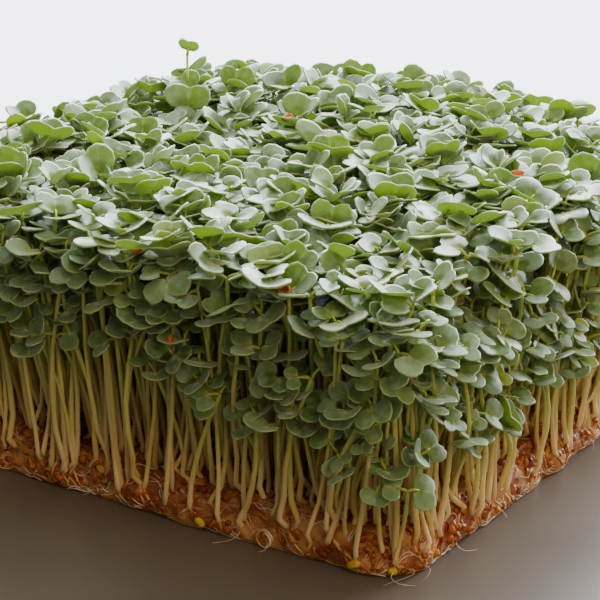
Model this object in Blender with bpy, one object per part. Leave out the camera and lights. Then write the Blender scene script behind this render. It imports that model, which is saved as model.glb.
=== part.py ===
# A square block of brassica microgreens, lifted out of its growing punnet and stood on a table:
# a felted root mat, the seed bed knitted on top of it, and tufts of sprouts that stand in the bed.
# Metres, +Z up. The origin is under the middle of the block, on the surface that it stands on.
# The sprouts are fewer than the real ones and their leaves a little larger, so that they still cover it.

import math
import random

import bmesh
import bpy
from mathutils import Matrix, Vector
from mathutils.bvhtree import BVHTree

SEED = 7
GAP = 0.0003

# Root mat
MAT_X = 0.150
MAT_Y = 0.155
MAT_CORNER = 0.013
MAT_THICKNESS = 0.0048
MAT_EDGE = 0.0012
MAT_WAVE = 0.0008
SIDE_POINTS = 4
CORNER_POINTS = 4

# Fine roots that creep out from under the mat, at these shares of the way round it
ROOTLET_PLACES = (0.03, 0.17, 0.24, 0.27, 0.41, 0.58, 0.73, 0.88)
ROOTLET_RADIUS = 0.0005
ROOTLET_HELD = 0.0040
ROOTLET_REACH = 0.0055
ROOTLET_SWAY = 0.0030
ROOTLET_DROP = 0.0012
ROOTLET_POINTS = 5

# Seed bed, with seeds along its side in two rows
BED_INSET = 0.0018
BED_TOP = 0.0118
BED_EDGE = 0.0016
BED_WAVE = 0.0005
SEED_COUNT = 38
SEED_RADIUS = 0.0015
SEED_ROWS = (0.0078, 0.0102)
SEED_SINK = 0.0003
SEED_STRETCH = (1.0, 1.15, 0.95)

# Tufts: a grid of root knots in plain holes through the bed
TUFTS_X = 6
TUFTS_Y = 6
KNOT_RADIUS = 0.0100
KNOT_TAPER = 0.0008
KNOT_SIDES = 7
KNOT_RISE = 0.0006
BED_WALL = 0.0020

# Stems
STEM_RADIUS = 0.0008
STEM_SIDES = 3
STEM_SPREAD = 0.0074
STEM_ROOT = 0.0030
STEM_KNEE = 0.45
STEM_BOW = 0.25

# A pair of seed leaves as one blade: half of one leaf's rim, in degrees from its midrib and metres
LEAF_RIM = ((0, 0.0086), (22, 0.0108), (48, 0.0093))
LEAF_WAIST = 0.0012
LEAF_THICKNESS = 0.0009
LEAF_CUP = 0.0011
SMALLER_LEAF = 0.86
LEAF_SIZES = (0.95, 1.12)
LEAF_FOLDS = (4, 24)

# Canopy: a crown on top and a skirt that hangs out round the sides
CANOPY_X = 0.166
CANOPY_Y = 0.171
CANOPY_MARGIN = 0.0075
CROWN_LOW = 0.061
CROWN_HIGH = 0.0665
CROWN_FALL = 0.002
DROOP = 0.012
DROOP_FROM = 0.55
CROWN_ROUGH = 0.003
CROWN_FILL = 0.52
CROWN_TILTS = (0, 22)
SKIRT_LOW = 0.026
SKIRT_HIGH = 0.050
SKIRT_REACH = 0.42
SKIRT_TILTS = (25, 55)
SKIRT_STEP = 0.008
SKIRT_FANS = (0, 1.2, 1.5)
GOLDEN_ANGLE = math.pi * (3 - math.sqrt(5))
GOLDEN_SHARE = 0.618

# Sprouts in a tuft's crown and skirt: inside the block, on its sides and at its corners
CROWN_COUNTS = (4, 4, 4)
SKIRT_COUNTS = (0, 3, 3)
STRAY_TUFT = (0, 4)
STRAY_HEIGHT = 0.076

# Search for a place where a sprout touches no other
TRIES = 160
CLEARANCE = 0.0003
CLEAR_SIZE = 1.02
NEAR = 0.012
LEAN_ROOM = 0.010
LOOSEN_SHIFT = 0.004
LOOSEN_RISE = 0.006
LOOSEN_SIZE = 0.25
JITTER = 0.001


def material(name, colour, roughness):
    made = bpy.data.materials.new(name)
    made.use_nodes = True
    shader = made.node_tree.nodes["Principled BSDF"]
    shader.inputs["Base Color"].default_value = (*colour, 1.0)
    shader.inputs["Roughness"].default_value = roughness
    shader.inputs["Metallic"].default_value = 0.0
    return made


def clear_scene():
    for old in list(bpy.data.objects):
        bpy.data.objects.remove(old)


def collection_of(name):
    made = bpy.data.collections.new(name)
    bpy.context.scene.collection.children.link(made)
    return made


def add_object(name, data, home, *materials):
    made = bpy.data.objects.new(name, data)
    home.objects.link(made)
    for one in materials:
        data.materials.append(one)
    return made


def mesh_from(bm, name):
    mesh = bpy.data.meshes.new(name)
    bm.to_mesh(mesh)
    bm.free()
    return mesh


def joined(base, pieces, operation):
    """Applies one Boolean of a collection to base, then removes the collection and its objects."""
    boolean = base.modifiers.new("join", "BOOLEAN")
    boolean.operand_type = "COLLECTION"
    boolean.collection = pieces
    boolean.operation = operation
    boolean.solver = "EXACT"
    bpy.context.view_layer.update()
    graph = bpy.context.evaluated_depsgraph_get()
    mesh = bpy.data.meshes.new_from_object(base.evaluated_get(graph))
    base.modifiers.clear()
    base.data = mesh
    for piece in list(pieces.objects):
        bpy.data.objects.remove(piece)
    bpy.data.collections.remove(pieces)
    return base


def solid_of_curve(guide, name, home, *materials):
    """The curve's solid as a mesh object with its caps welded; the curve is removed."""
    bpy.context.view_layer.update()
    graph = bpy.context.evaluated_depsgraph_get()
    mesh = bpy.data.meshes.new_from_object(guide.evaluated_get(graph))
    bm = bmesh.new()
    bm.from_mesh(mesh)
    bmesh.ops.remove_doubles(bm, verts=bm.verts, dist=0.00001)
    bmesh.ops.recalc_face_normals(bm, faces=bm.faces)
    bm.to_mesh(mesh)
    bm.free()
    mesh.materials.clear()
    made = add_object(name, mesh, home, *materials)
    made.matrix_world = guide.matrix_world.copy()
    bpy.data.objects.remove(guide)
    return made


def rim_lengths(inset):
    """Length of the mat's straight sides in X and Y and of a corner's arc, at an inset from its edge."""
    corner = MAT_CORNER - inset
    return MAT_X - 2 * MAT_CORNER, MAT_Y - 2 * MAT_CORNER, corner * math.pi / 2


def rim_point(share, inset):
    """Point and outward direction at a share of the way round the mat, at an inset from its edge."""
    side_x, side_y, arc = rim_lengths(inset)
    corner = MAT_CORNER - inset
    along = (share % 1.0) * 2 * (side_x + side_y + 2 * arc)
    sides = (
        (Vector((-side_x, -side_y)) / 2, Vector((1, 0)), side_x),
        (Vector((side_x, -side_y)) / 2, Vector((0, 1)), side_y),
        (Vector((side_x, side_y)) / 2, Vector((-1, 0)), side_x),
        (Vector((-side_x, side_y)) / 2, Vector((0, -1)), side_y),
    )
    for start, heading, length in sides:
        outward = Vector((heading.y, -heading.x))
        if along <= length:
            return start + heading * along + outward * corner, outward
        along -= length
        if along <= arc:
            turned_out = Matrix.Rotation(along / corner, 2) @ outward
            return start + heading * length + turned_out * corner, turned_out
        along -= arc
    return rim_point(0, inset)


def rim_shares(inset):
    """Shares of the way round at which the outline has its points, closer together on the corners."""
    side_x, side_y, arc = rim_lengths(inset)
    whole = 2 * (side_x + side_y + 2 * arc)
    begun = 0
    shares = []
    for side in (side_x, side_y) * 2:
        shares += [(begun + side * i / SIDE_POINTS) / whole for i in range(SIDE_POINTS)]
        begun += side
        shares += [(begun + arc * i / CORNER_POINTS) / whole for i in range(CORNER_POINTS)]
        begun += arc
    return shares


def wave_at(share, height):
    """Uneven edge of the felt: five slow waves round it with thirteen quick ones on them."""
    slow = math.sin(2 * math.pi * 5 * share + 1.3)
    quick = math.sin(2 * math.pi * 13 * share + 0.4)
    return height * (0.6 * slow + 0.4 * quick)


def slab(name, home, inset, wave, edge, low, high, skin):
    """A slab with an uneven rounded-rectangle outline and eased edges."""
    curve = bpy.data.curves.new(name, "CURVE")
    curve.dimensions = "2D"
    curve.fill_mode = "BOTH"
    curve.bevel_depth = edge
    curve.bevel_resolution = 0
    curve.offset = -edge
    curve.extrude = (high - low) / 2 - edge
    shares = rim_shares(inset)
    spline = curve.splines.new("POLY")
    spline.points.add(len(shares) - 1)
    spline.use_cyclic_u = True
    for point, share in zip(spline.points, shares):
        place, outward = rim_point(share, inset)
        place += outward * wave_at(share, wave)
        point.co = (place.x, place.y, 0, 1)
    outline = bpy.data.objects.new(name + "_outline", curve)
    outline.location.z = (low + high) / 2
    home.objects.link(outline)
    return solid_of_curve(outline, name, home, skin)


def rootlet(share, home, draw):
    """A fine root that leaves the mat's edge and lies along the surface."""
    curve = bpy.data.curves.new("rootlet", "CURVE")
    curve.dimensions = "3D"
    curve.bevel_depth = ROOTLET_RADIUS
    curve.bevel_resolution = 0
    curve.use_fill_caps = True
    spline = curve.splines.new("POLY")
    spline.points.add(ROOTLET_POINTS - 1)
    place, outward = rim_point(share, ROOTLET_HELD)
    sideways = Vector((-outward.y, outward.x)) * draw.choice((-1, 1))
    for i, point in enumerate(spline.points):
        reach = i / (ROOTLET_POINTS - 1)
        at = place + outward * reach * (ROOTLET_REACH + ROOTLET_HELD)
        at += sideways * math.sin(reach * 2.4) * ROOTLET_SWAY * draw.uniform(0.7, 1.0)
        point.co = (at.x, at.y, ROOTLET_RADIUS * 1.5 + ROOTLET_DROP * (1 - reach), 1)
    guide = bpy.data.objects.new("rootlet_guide", curve)
    home.objects.link(guide)
    return solid_of_curve(guide, "rootlet", home)


def seed(place, turn, home):
    bm = bmesh.new()
    bmesh.ops.create_icosphere(bm, subdivisions=1, radius=SEED_RADIUS)
    bmesh.ops.rotate(bm, verts=bm.verts, matrix=Matrix.Rotation(turn, 3, "X"))
    bmesh.ops.scale(bm, verts=bm.verts, vec=SEED_STRETCH)
    made = add_object("seed", mesh_from(bm, "seed"), home)
    made.location = place
    return made


def puck(name, place, low, high, radius, taper, home, *materials):
    """An upright round plug with few sides, narrower at its top by taper."""
    bm = bmesh.new()
    bmesh.ops.create_cone(
        bm,
        cap_ends=True,
        segments=KNOT_SIDES,
        radius1=radius,
        radius2=radius - taper,
        depth=high - low,
    )
    made = add_object(name, mesh_from(bm, name), home, *materials)
    made.location = (place.x, place.y, (low + high) / 2)
    return made


def pair_rim():
    """Rim of a leaf pair as (degrees, reach), anticlockwise from the larger leaf's notch."""
    smaller = [(180 - angle, reach * SMALLER_LEAF) for angle, reach in reversed(LEAF_RIM)]
    half = [*LEAF_RIM, (90, LEAF_WAIST), *smaller]
    return half + [(360 - angle, reach) for angle, reach in reversed(half[1:-1])]


def leaf_pair(size, fold):
    """Two notched seed leaves joined at the neck, as one thin arched blade lying round the Z axis."""
    bm = bmesh.new()
    outline = pair_rim()
    rim = bmesh.ops.create_circle(bm, cap_ends=True, segments=len(outline), radius=1)["verts"]
    rim.sort(key=lambda v: (math.atan2(v.co.y, v.co.x) + 0.01) % (2 * math.pi))
    for vert, (degrees, reach) in zip(rim, outline):
        angle = math.radians(degrees)
        along = math.cos(angle) * reach * size
        across = math.sin(angle) * reach * size
        lift = math.tan(fold) * abs(along) + LEAF_CUP * math.sin(2 * angle) ** 2
        vert.co = (along, across, lift)
    waist = len(LEAF_RIM)
    bmesh.ops.connect_verts(bm, verts=[rim[waist], rim[-waist]])
    bmesh.ops.triangulate(bm, faces=bm.faces)
    grown = bmesh.ops.extrude_face_region(bm, geom=bm.faces)["geom"]
    raised = [g for g in grown if isinstance(g, bmesh.types.BMVert)]
    bmesh.ops.translate(bm, verts=raised, vec=(0, 0, LEAF_THICKNESS))
    bmesh.ops.recalc_face_normals(bm, faces=bm.faces)
    return bm


def stem_tube(path, radius):
    """A tube with few sides through the points of path, closed at both ends."""
    bm = bmesh.new()
    ring = bmesh.ops.create_circle(bm, segments=STEM_SIDES, radius=radius)["verts"]
    edges = bm.edges[:]
    bmesh.ops.translate(bm, verts=ring, vec=path[0])
    for start, end in zip(path, path[1:]):
        grown = bmesh.ops.extrude_edge_only(bm, edges=edges)["geom"]
        verts = [g for g in grown if isinstance(g, bmesh.types.BMVert)]
        edges = [g for g in grown if isinstance(g, bmesh.types.BMEdge)]
        bmesh.ops.translate(bm, verts=verts, vec=end - start)
    bmesh.ops.holes_fill(bm, edges=[e for e in bm.edges if e.is_boundary], sides=0)
    bmesh.ops.recalc_face_normals(bm, faces=bm.faces)
    return bm


class Sprout:
    """A stem from foot to head, and on its head a pair of seed leaves tipped towards a direction."""

    def __init__(self, foot, head, heading, tilt, towards, size, fold):
        knee = foot.lerp(head, STEM_KNEE)
        knee += Vector((foot.x - head.x, foot.y - head.y, 0)) * STEM_BOW
        self.path = [foot, knee, head + Vector((0, 0, LEAF_THICKNESS * 0.6))]
        self.head = head
        axis = Vector((-towards.y, towards.x, 0))
        self.turn = Matrix.Rotation(tilt, 3, axis) @ Matrix.Rotation(heading, 3, "Z")
        self.size = size
        self.fold = fold
        self.reach = max(reach for _, reach in LEAF_RIM) * size

    def leaf_mesh(self):
        return self.placed(leaf_pair(self.size, self.fold))

    def stem_mesh(self):
        return stem_tube(self.path, STEM_RADIUS)

    def placed(self, bm):
        bmesh.ops.rotate(bm, verts=bm.verts, matrix=self.turn)
        bmesh.ops.translate(bm, verts=bm.verts, vec=self.head)
        return bm

    def trees(self):
        """Search trees of the leaves and the stem, both a little swollen."""
        leaf = leaf_pair(self.size * CLEAR_SIZE, self.fold)
        leaf.normal_update()
        moves = [(v, v.normal * CLEARANCE) for v in leaf.verts]
        for vert, move in moves:
            vert.co += move
        swollen = (self.placed(leaf), stem_tube(self.path, STEM_RADIUS + CLEARANCE))
        made = [BVHTree.FromBMesh(bm) for bm in swollen]
        for bm in swollen:
            bm.free()
        return made

    def inside_canopy(self):
        bm = self.leaf_mesh()
        fits = all(abs(v.co.x) <= CANOPY_X / 2 and abs(v.co.y) <= CANOPY_Y / 2 for v in bm.verts)
        bm.free()
        return fits


def is_clear(sprout, trees, placed):
    for other, other_trees in placed:
        apart = max(sprout.reach + other.reach, NEAR) + LEAN_ROOM
        if (sprout.head - other.head).xy.length > apart:
            continue
        if any(mine.overlap(theirs) for mine in trees for theirs in other_trees):
            return False
    return True


def place_sprout(draw, placed, foot, head, height, tilt, towards):
    """Draws a heading, height, size and lean, ever more freely, until the sprout touches no other."""
    limit_x = CANOPY_X / 2 - CANOPY_MARGIN
    limit_y = CANOPY_Y / 2 - CANOPY_MARGIN
    for attempt in range(TRIES):
        loose = attempt / TRIES
        shift = JITTER + LOOSEN_SHIFT * loose
        x = head.x + draw.uniform(-shift, shift)
        y = head.y + draw.uniform(-shift, shift)
        rise = JITTER + LOOSEN_RISE * loose
        top = Vector(
            (
                max(-limit_x, min(limit_x, x)),
                max(-limit_y, min(limit_y, y)),
                height + draw.uniform(-rise, rise),
            )
        )
        sprout = Sprout(
            foot,
            top,
            draw.uniform(0, 2 * math.pi),
            tilt * draw.uniform(0.7, 1.2),
            towards,
            draw.uniform(*LEAF_SIZES) * (1 - LOOSEN_SIZE * loose),
            math.radians(draw.uniform(*LEAF_FOLDS)),
        )
        if not sprout.inside_canopy():
            continue
        trees = sprout.trees()
        if is_clear(sprout, trees, placed):
            placed.append((sprout, trees))
            return [sprout]
    return []


def tuft_centre(column, row):
    held = BED_INSET + BED_WAVE + KNOT_RADIUS + GAP + BED_WALL
    reach_x = MAT_X / 2 - held
    reach_y = MAT_Y / 2 - held
    x = reach_x * (2 * column / (TUFTS_X - 1) - 1)
    y = reach_y * (2 * row / (TUFTS_Y - 1) - 1)
    return Vector((x, y))


def crown_height(place, draw):
    """The crown is nearly level, a little lower at its sides, and droops at the corner at -X and +Y."""
    edge = max(abs(place.x) / (CANOPY_X / 2), abs(place.y) / (CANOPY_Y / 2))
    swell = 0.5 + 0.25 * math.sin(place.x * 70 + 0.6) + 0.25 * math.sin(place.y * 58 + place.x * 31)
    top = CROWN_LOW + (CROWN_HIGH - CROWN_LOW) * swell
    to_corner = place.y / CANOPY_Y - place.x / CANOPY_X
    droop = DROOP * max(0, (to_corner - DROOP_FROM) / (1 - DROOP_FROM)) ** 1.5
    return top - CROWN_FALL * edge**6 - droop + draw.uniform(-CROWN_ROUGH, CROWN_ROUGH)


def crown_of(centre, middle, cell, count, stray, draw, placed):
    """Sprouts whose heads spread evenly over the tuft's own cell of the canopy."""
    sprouts = []
    turn = draw.uniform(0, 2 * math.pi)
    for i in range(count):
        angle = turn + i * GOLDEN_ANGLE
        unit = Vector((math.cos(angle), math.sin(angle))) * math.sqrt((i + 0.5) / count)
        foot = centre + unit * STEM_SPREAD
        head = middle + Vector((unit.x * cell.x, unit.y * cell.y)) * CROWN_FILL
        height = crown_height(head, draw)
        if stray and i == 0:
            height = STRAY_HEIGHT
        lean = Vector((draw.uniform(-1, 1), draw.uniform(-1, 1))).normalized()
        tilt = math.radians(draw.uniform(*CROWN_TILTS))
        foot = Vector((*foot, BED_TOP + KNOT_RISE - STEM_ROOT))
        sprouts += place_sprout(draw, placed, foot, head, height, tilt, lean)
    return sprouts


def skirt_of(centre, middle, cell, count, sides, outward, draw, placed):
    """Lower sprouts that lean out over the edge and turn their leaves outwards."""
    sprouts = []
    for i in range(count):
        fan = (i + 0.5) / count - 0.5
        aim = Matrix.Rotation(fan * SKIRT_FANS[sides], 2) @ outward
        across = Vector((-aim.y, aim.x)) * fan * SKIRT_STEP
        foot = centre + (aim * STEM_SPREAD + across).normalized() * STEM_SPREAD
        head = middle + aim * cell.x * SKIRT_REACH + across * 1.5
        share = (i * GOLDEN_SHARE + draw.uniform(0, 0.4)) % 1.0
        height = SKIRT_LOW + (SKIRT_HIGH - SKIRT_LOW) * share
        tilt = math.radians(draw.uniform(*SKIRT_TILTS))
        foot = Vector((*foot, BED_TOP + KNOT_RISE - STEM_ROOT))
        sprouts += place_sprout(draw, placed, foot, head, height, tilt, aim)
    return sprouts


def plan_tuft(column, row, draw, placed):
    """The sprouts of one tuft: its share of the crown and, at the block's sides, of the skirt."""
    centre = tuft_centre(column, row)
    cell = Vector((CANOPY_X / TUFTS_X, CANOPY_Y / TUFTS_Y))
    middle = Vector(((column + 0.5) * cell.x - CANOPY_X / 2, (row + 0.5) * cell.y - CANOPY_Y / 2))
    side_x = (column == TUFTS_X - 1) - (column == 0)
    side_y = (row == TUFTS_Y - 1) - (row == 0)
    sides = abs(side_x) + abs(side_y)
    outward = Vector((side_x, side_y)).normalized()
    stray = (column, row) == STRAY_TUFT
    crown = crown_of(centre, middle, cell, CROWN_COUNTS[sides], stray, draw, placed)
    return crown + skirt_of(centre, middle, cell, SKIRT_COUNTS[sides], sides, outward, draw, placed)


def build_root_mat(home, felt, draw):
    mat = slab("root_mat", home, 0.0, MAT_WAVE, MAT_EDGE, 0.0, MAT_THICKNESS, felt)
    rootlets = collection_of("rootlets")
    for share in ROOTLET_PLACES:
        rootlet(share, rootlets, draw)
    return joined(mat, rootlets, "UNION")


def build_seed_bed(home, hull, draw):
    low = MAT_THICKNESS + GAP
    bed = slab("seed_bed", home, BED_INSET, BED_WAVE, BED_EDGE, low, BED_TOP, hull)
    holes = collection_of("holes")
    for column in range(TUFTS_X):
        for row in range(TUFTS_Y):
            place = tuft_centre(column, row)
            puck("hole", place, low - KNOT_RISE, BED_TOP + KNOT_RISE, KNOT_RADIUS + GAP, 0, holes)
    joined(bed, holes, "DIFFERENCE")
    seeds = collection_of("seeds")
    for i in range(SEED_COUNT):
        share = (i + draw.uniform(-0.25, 0.25)) / SEED_COUNT
        place, outward = rim_point(share, BED_INSET)
        place += outward * (wave_at(share, BED_WAVE) - SEED_SINK)
        height = SEED_ROWS[i % 2] + draw.uniform(-SEED_SINK, SEED_SINK)
        seed((*place, height), turn=i * GOLDEN_ANGLE, home=seeds)
    return joined(bed, seeds, "UNION")


def build_tuft(name, centre, sprouts, home, stem_skin, leaf_skin):
    """A root knot with its sprouts fused to it; stems wear the first material, leaves the second."""
    skins = (stem_skin, leaf_skin)
    low = MAT_THICKNESS + GAP
    knot = puck(name, centre, low, BED_TOP + KNOT_RISE, KNOT_RADIUS, KNOT_TAPER, home, *skins)
    pieces = collection_of(name + "_pieces")
    for sprout in sprouts:
        add_object("stem", mesh_from(sprout.stem_mesh(), "stem"), pieces, *skins)
        leaves = add_object("leaves", mesh_from(sprout.leaf_mesh(), "leaves"), pieces, *skins)
        for face in leaves.data.polygons:
            face.material_index = 1
    return joined(knot, pieces, "UNION")


def main():
    clear_scene()
    draw = random.Random(SEED)
    home = collection_of("microgreens_block")
    felt = material("root_felt", (0.60, 0.42, 0.22), 0.8)
    hull = material("seed_hulls", (0.36, 0.13, 0.04), 0.5)
    stem_skin = material("stems", (0.62, 0.58, 0.30), 0.45)
    leaf_skin = material("seed_leaves", (0.20, 0.34, 0.13), 0.5)
    build_root_mat(home, felt, draw)
    build_seed_bed(home, hull, draw)
    placed = []
    for row in range(TUFTS_Y):
        for column in range(TUFTS_X):
            sprouts = plan_tuft(column, row, draw, placed)
            name = f"sprouts_{row * TUFTS_X + column + 1:02d}"
            build_tuft(name, tuft_centre(column, row), sprouts, home, stem_skin, leaf_skin)
    print("sprouts placed:", len(placed))


main()
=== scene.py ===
# A square block of brassica microgreens on its own root mat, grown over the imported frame: felted roots,
# seeds and split seed coats, and some 2,000 pale stems, each with its pair of notched seed leaves.
import math
import random

import bmesh
import bpy
import numpy as np
from mathutils import Euler, Matrix, Vector, noise
from mathutils.bvhtree import BVHTree


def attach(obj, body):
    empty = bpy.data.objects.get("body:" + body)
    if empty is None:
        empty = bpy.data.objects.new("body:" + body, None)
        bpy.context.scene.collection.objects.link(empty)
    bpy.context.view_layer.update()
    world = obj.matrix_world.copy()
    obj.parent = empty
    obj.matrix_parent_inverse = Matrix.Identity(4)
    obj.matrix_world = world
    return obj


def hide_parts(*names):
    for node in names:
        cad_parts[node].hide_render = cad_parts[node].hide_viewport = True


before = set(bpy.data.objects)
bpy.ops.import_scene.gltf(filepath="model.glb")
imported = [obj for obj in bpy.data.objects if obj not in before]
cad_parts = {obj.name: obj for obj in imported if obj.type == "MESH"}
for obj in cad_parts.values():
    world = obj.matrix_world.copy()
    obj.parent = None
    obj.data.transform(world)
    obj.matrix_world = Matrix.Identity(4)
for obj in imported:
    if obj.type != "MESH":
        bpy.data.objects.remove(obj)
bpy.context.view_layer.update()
draw = random.Random(23)
mm = 0.001
fullTurn = 2 * math.pi
upwards = Vector((0, 0, 1))


# General helpers

# Linear colour of an sRGB hex code
def srgb(code):
    channels = [int(code[i:i + 2], 16) / 255 for i in (1, 3, 5)]
    linear = [c / 12.92 if c <= 0.04045 else ((c + 0.055) / 1.055) ** 2.4 for c in channels]
    return (*linear, 1.0)


# Adds a shader node. Its inputs are numbers, colours, sockets, or other nodes for their first output,
# and its settings are the node's own values
def addNode(tree, kind, inputs=None, **settings):
    made = tree.nodes.new("ShaderNode" + kind)
    for key, value in settings.items():
        setattr(made, key, value)
    for key, value in (inputs or {}).items():
        if isinstance(value, bpy.types.Node):
            value = value.outputs[0]
        if isinstance(value, bpy.types.NodeSocket):
            tree.links.new(value, made.inputs[key])
        else:
            made.inputs[key].default_value = value
    return made


smooth = {"interpolation_type": "SMOOTHSTEP"}  # of a Map Range: 0 value, 1 and 2 from, 3 and 4 to
inColour = {"data_type": "RGBA"}  # of a Mix: 0 share, 6 and 7 colours, and the colour comes out at 2


def newMaterial(name):
    made = bpy.data.materials.new(name)
    made.use_nodes = True
    tree = made.node_tree
    tree.nodes.clear()
    return made, tree


# Lays a colour over another one, more and more as a pattern rises from low to high
def overlay(tree, under, colour, pattern, low, high, shares=(0.0, 1.0)):
    cover = addNode(tree, "MapRange", {0: pattern, 1: low, 2: high, 3: shares[0], 4: shares[1]}, **smooth)
    return addNode(tree, "Mix", {0: cover, 6: under, 7: srgb(colour)}, **inColour).outputs[2]


# Lets a share of the light go through a surface, as thin moist tissue does, and closes the material
def letThrough(tree, surface, share, inputs):
    through = addNode(tree, "BsdfTranslucent", inputs)
    blend = addNode(tree, "MixShader", {0: share, 1: surface, 2: through})
    addNode(tree, "OutputMaterial", {"Surface": blend})


# Settings of a noise whose blots are about so many millimetres across
def blots(where, sizeMm, detail, roughness=0.55):
    return {"Vector": where, "Scale": 1 / (sizeMm * mm), "Detail": detail, "Roughness": roughness}


def objectSpace(tree, stretch=(1, 1, 1)):
    found = addNode(tree, "TexCoord").outputs["Object"]
    return addNode(tree, "Mapping", {"Vector": found, "Scale": stretch})


# Share of the way along a strand, from its foot to its tip
def alongStrand(tree):
    return addNode(tree, "SeparateXYZ", {0: addNode(tree, "UVMap", uv_map="UVMap")})


def addPiece(name, mesh, skin, nodes=()):
    mesh.materials.clear()
    mesh.materials.append(skin)
    piece = bpy.data.objects.new(name, mesh)
    bpy.context.scene.collection.objects.link(piece)
    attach(piece, "root")
    if nodes:
        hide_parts(*nodes)
    return piece


def meshFrom(bm, name):
    mesh = bpy.data.meshes.new(name)
    bm.to_mesh(mesh)
    bm.free()
    for face in mesh.polygons:
        face.use_smooth = True
    return mesh


# Rounds places to a micrometre, cuts faces to triangles and puts them in an order that hangs on their
# places only, so that every run gives the same mesh
def settled(bm):
    for vert in bm.verts:
        vert.co = [round(c, 6) for c in vert.co]
    bmesh.ops.triangulate(bm, faces=bm.faces, quad_method="SHORT_EDGE")
    byPlace = ((bm.verts, lambda vert: tuple(vert.co)),
               (bm.faces, lambda face: sorted(tuple(vert.co) for vert in face.verts)))
    for parts, key in byPlace:
        rank = {part: i for i, part in enumerate(sorted(parts, key=key))}
        parts.sort(key=rank.get)
    bm.normal_update()


# Copies of small template meshes, each with its own place and its own shades, gathered in one mesh
def gather(name, copies):
    bm = bmesh.new()
    for template, place, shades in copies:
        mesh = template.copy()
        mesh.transform(place)
        for key, value in shades.items():
            mesh.attributes[key].data.foreach_set("value", np.full(len(mesh.vertices), value, np.float32))
        bm.from_mesh(mesh)
        bpy.data.meshes.remove(mesh)
    return meshFrom(bm, name)


# Thin round strands through lists of (point, radius), as one closed mesh
def strandMesh(name, strands, sidesLevel=0):
    curve = bpy.data.curves.new(name, "CURVE")
    curve.dimensions = "3D"
    curve.bevel_depth = 1.0
    curve.bevel_resolution = sidesLevel
    curve.use_fill_caps = True
    for strand in strands:
        spline = curve.splines.new("POLY")
        spline.points.add(len(strand) - 1)
        for target, (point, radius) in zip(spline.points, strand):
            target.co = (*point, 1)
            target.radius = radius
    guide = bpy.data.objects.new(name, curve)
    bpy.context.scene.collection.objects.link(guide)
    bpy.context.view_layer.update()
    swept = bpy.data.meshes.new_from_object(guide.evaluated_get(bpy.context.evaluated_depsgraph_get()))
    bpy.data.objects.remove(guide)
    bm = bmesh.new()
    bm.from_mesh(swept)
    bpy.data.meshes.remove(swept)
    bmesh.ops.remove_doubles(bm, verts=bm.verts, dist=0.01 * mm)
    return meshFrom(bm, name)


# Materials

leafLook = {
    "dark": "#3E6228",
    "pale": "#789656",
    "bloom": "#A4B692",
    "young": "#9CB532",
    "underside": "#839A44",
    "vein": "#B4C48C",
    # painted glow: yellow-green towards the blade's base, where light shines through it
    "neck": "#A9C03E",
    # painted highlight: lighter colour along the blade's rim and cut edge
    "rim": "#C4D2A2",
    "sheen": "#E4EEEA",
    "glow": "#B2CC34",
    "youngGlow": "#D8E43C",
    "mottleMm": 2.2,
    "grainMm": 0.35,
    "veins": 46.0,
    "through": 0.34,
}
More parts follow.
